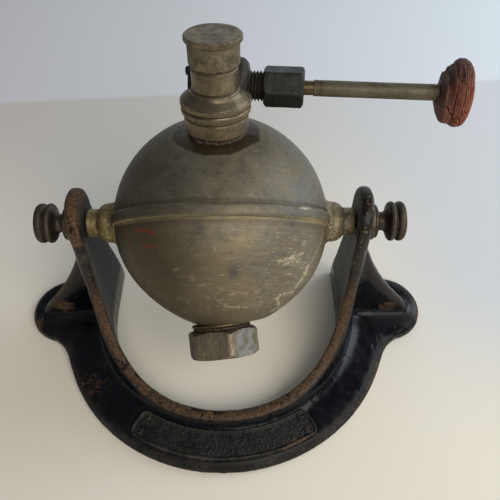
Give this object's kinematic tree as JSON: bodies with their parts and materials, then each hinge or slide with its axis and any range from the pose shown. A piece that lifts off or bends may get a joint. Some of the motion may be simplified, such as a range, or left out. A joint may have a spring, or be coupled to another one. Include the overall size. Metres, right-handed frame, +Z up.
{
  "type": "laboratory burner",
  "caption": "Liquid-fuel laboratory burner: a round brass tank tilts between the arms of a cast stand and carries a capped burner tube, a side needle valve with long spindle and a filler plug.",
  "frame": {"origin": "centre of the bounding box in plan, on the underside of the stand", "axes": "+X along the swing axis towards the valve handwheel, +Y to the open back of the stand, +Z up"},
  "size_m": [0.226, 0.141, 0.1717],
  "materials": {
    "japanned_iron": "glossy black japan on cast iron, worn to rust along the edges",
    "tank_brass": "dark olive-brown patina, brushed and scratched",
    "bright_brass": "worn yellowish brass",
    "head_brass": "turned brass, brown patina",
    "dark_bronze": "blackened bronze",
    "spindle_brass": "olive brass, handled",
    "black_screw": "blackened steel",
    "steel": "turned steel",
    "fibre": "layered red-brown fibre, cracked and chipped",
    "leather_washer": "oil-dark leather ring",
    "cotton_wick": "woven cotton",
    "gland_cord": "greased packing cord",
    "plug_metal": "grey-brown brass, scuffed"
  },
  "bodies": {
    "stand": {"stand_casting": "japanned_iron"},
    "tank": {"upper_shell": "tank_brass", "lower_shell": "tank_brass", "seam_band": "tank_brass", "left_trunnion_boss": "bright_brass", "right_trunnion_boss": "bright_brass", "filler_bush": "bright_brass", "neck_bush": "bright_brass", "neck_gasket": "leather_washer", "union_nut": "head_brass", "tail_ring": "leather_washer", "burner_tube": "head_brass", "flame_grid": "bright_brass", "jet_nipple": "bright_brass", "wick_tube": "bright_brass", "wick": "cotton_wick", "valve_body": "dark_bronze", "bleed_screw": "black_screw", "gland_nut": "dark_bronze", "gland_packing": "gland_cord", "gland_follower": "bright_brass"},
    "cap": {"burner_cap": "head_brass"},
    "needle": {"valve_needle": "steel"},
    "spindle": {"valve_spindle": "spindle_brass", "spindle_sleeve": "spindle_brass", "sleeve_pin": "steel", "handwheel": "fibre", "handwheel_nut": "dark_bronze"},
    "left_ring": {"left_washer": "dark_bronze"},
    "left_screw": {"left_thumb_screw": "dark_bronze"},
    "right_ring": {"right_washer": "dark_bronze"},
    "right_screw": {"right_thumb_screw": "dark_bronze"},
    "plug_ring": {"filler_gasket": "leather_washer"},
    "plug": {"filler_plug": "plug_metal"}
  },
  "joints": [
    {"name": "tank_tilt", "type": "hinge", "parent": "stand", "child": "tank", "pos_m": [0, 0.0205, 0.0823], "axis": [1, 0, 0], "range_deg": [-124, 128]},
    {"name": "cap_lift", "type": "slide", "parent": "tank", "child": "cap", "axis": [0, 0.1702, 0.9854], "range_m": [0, 0.025]},
    {"name": "needle_travel", "type": "slide", "parent": "tank", "child": "needle", "axis": [0.9955, -0.0938, 0.0162], "range_m": [0, 0.0015]},
    {"name": "valve_turn", "type": "hinge", "parent": "needle", "child": "spindle", "pos_m": [0, 0.04492, 0.14141], "axis": [0.9955, -0.0938, 0.0162], "range_deg": [0, 540]},
    {"name": "left_ring_travel", "type": "slide", "parent": "tank", "child": "left_ring", "axis": [-1, 0, 0], "range_m": [0, 0.002]},
    {"name": "left_screw_turn", "type": "hinge", "parent": "left_ring", "child": "left_screw", "pos_m": [-0.08, 0.0205, 0.0823], "axis": [-1, 0, 0], "range_deg": [0, 720]},
    {"name": "right_ring_travel", "type": "slide", "parent": "tank", "child": "right_ring", "axis": [1, 0, 0], "range_m": [0, 0.002]},
    {"name": "right_screw_turn", "type": "hinge", "parent": "right_ring", "child": "right_screw", "pos_m": [0.08, 0.0205, 0.0823], "axis": [1, 0, 0], "range_deg": [0, 720]},
    {"name": "plug_ring_travel", "type": "slide", "parent": "tank", "child": "plug_ring", "axis": [0.1045, -0.8046, -0.5846], "range_m": [0, 0.0075]},
    {"name": "plug_turn", "type": "hinge", "parent": "plug_ring", "child": "plug", "pos_m": [0, -0.01914, 0.0535], "axis": [0.1045, -0.8046, -0.5846], "range_deg": [0, 1800]}
  ],
  "couplings": [
    {"joint": "valve_turn", "follows": "needle_travel", "rad_per_m": 6283.2},
    {"joint": "left_screw_turn", "follows": "left_ring_travel", "rad_per_m": 6283.2},
    {"joint": "right_screw_turn", "follows": "right_ring_travel", "rad_per_m": 6283.2},
    {"joint": "plug_turn", "follows": "plug_ring_travel", "rad_per_m": 4188.8}
  ]
}
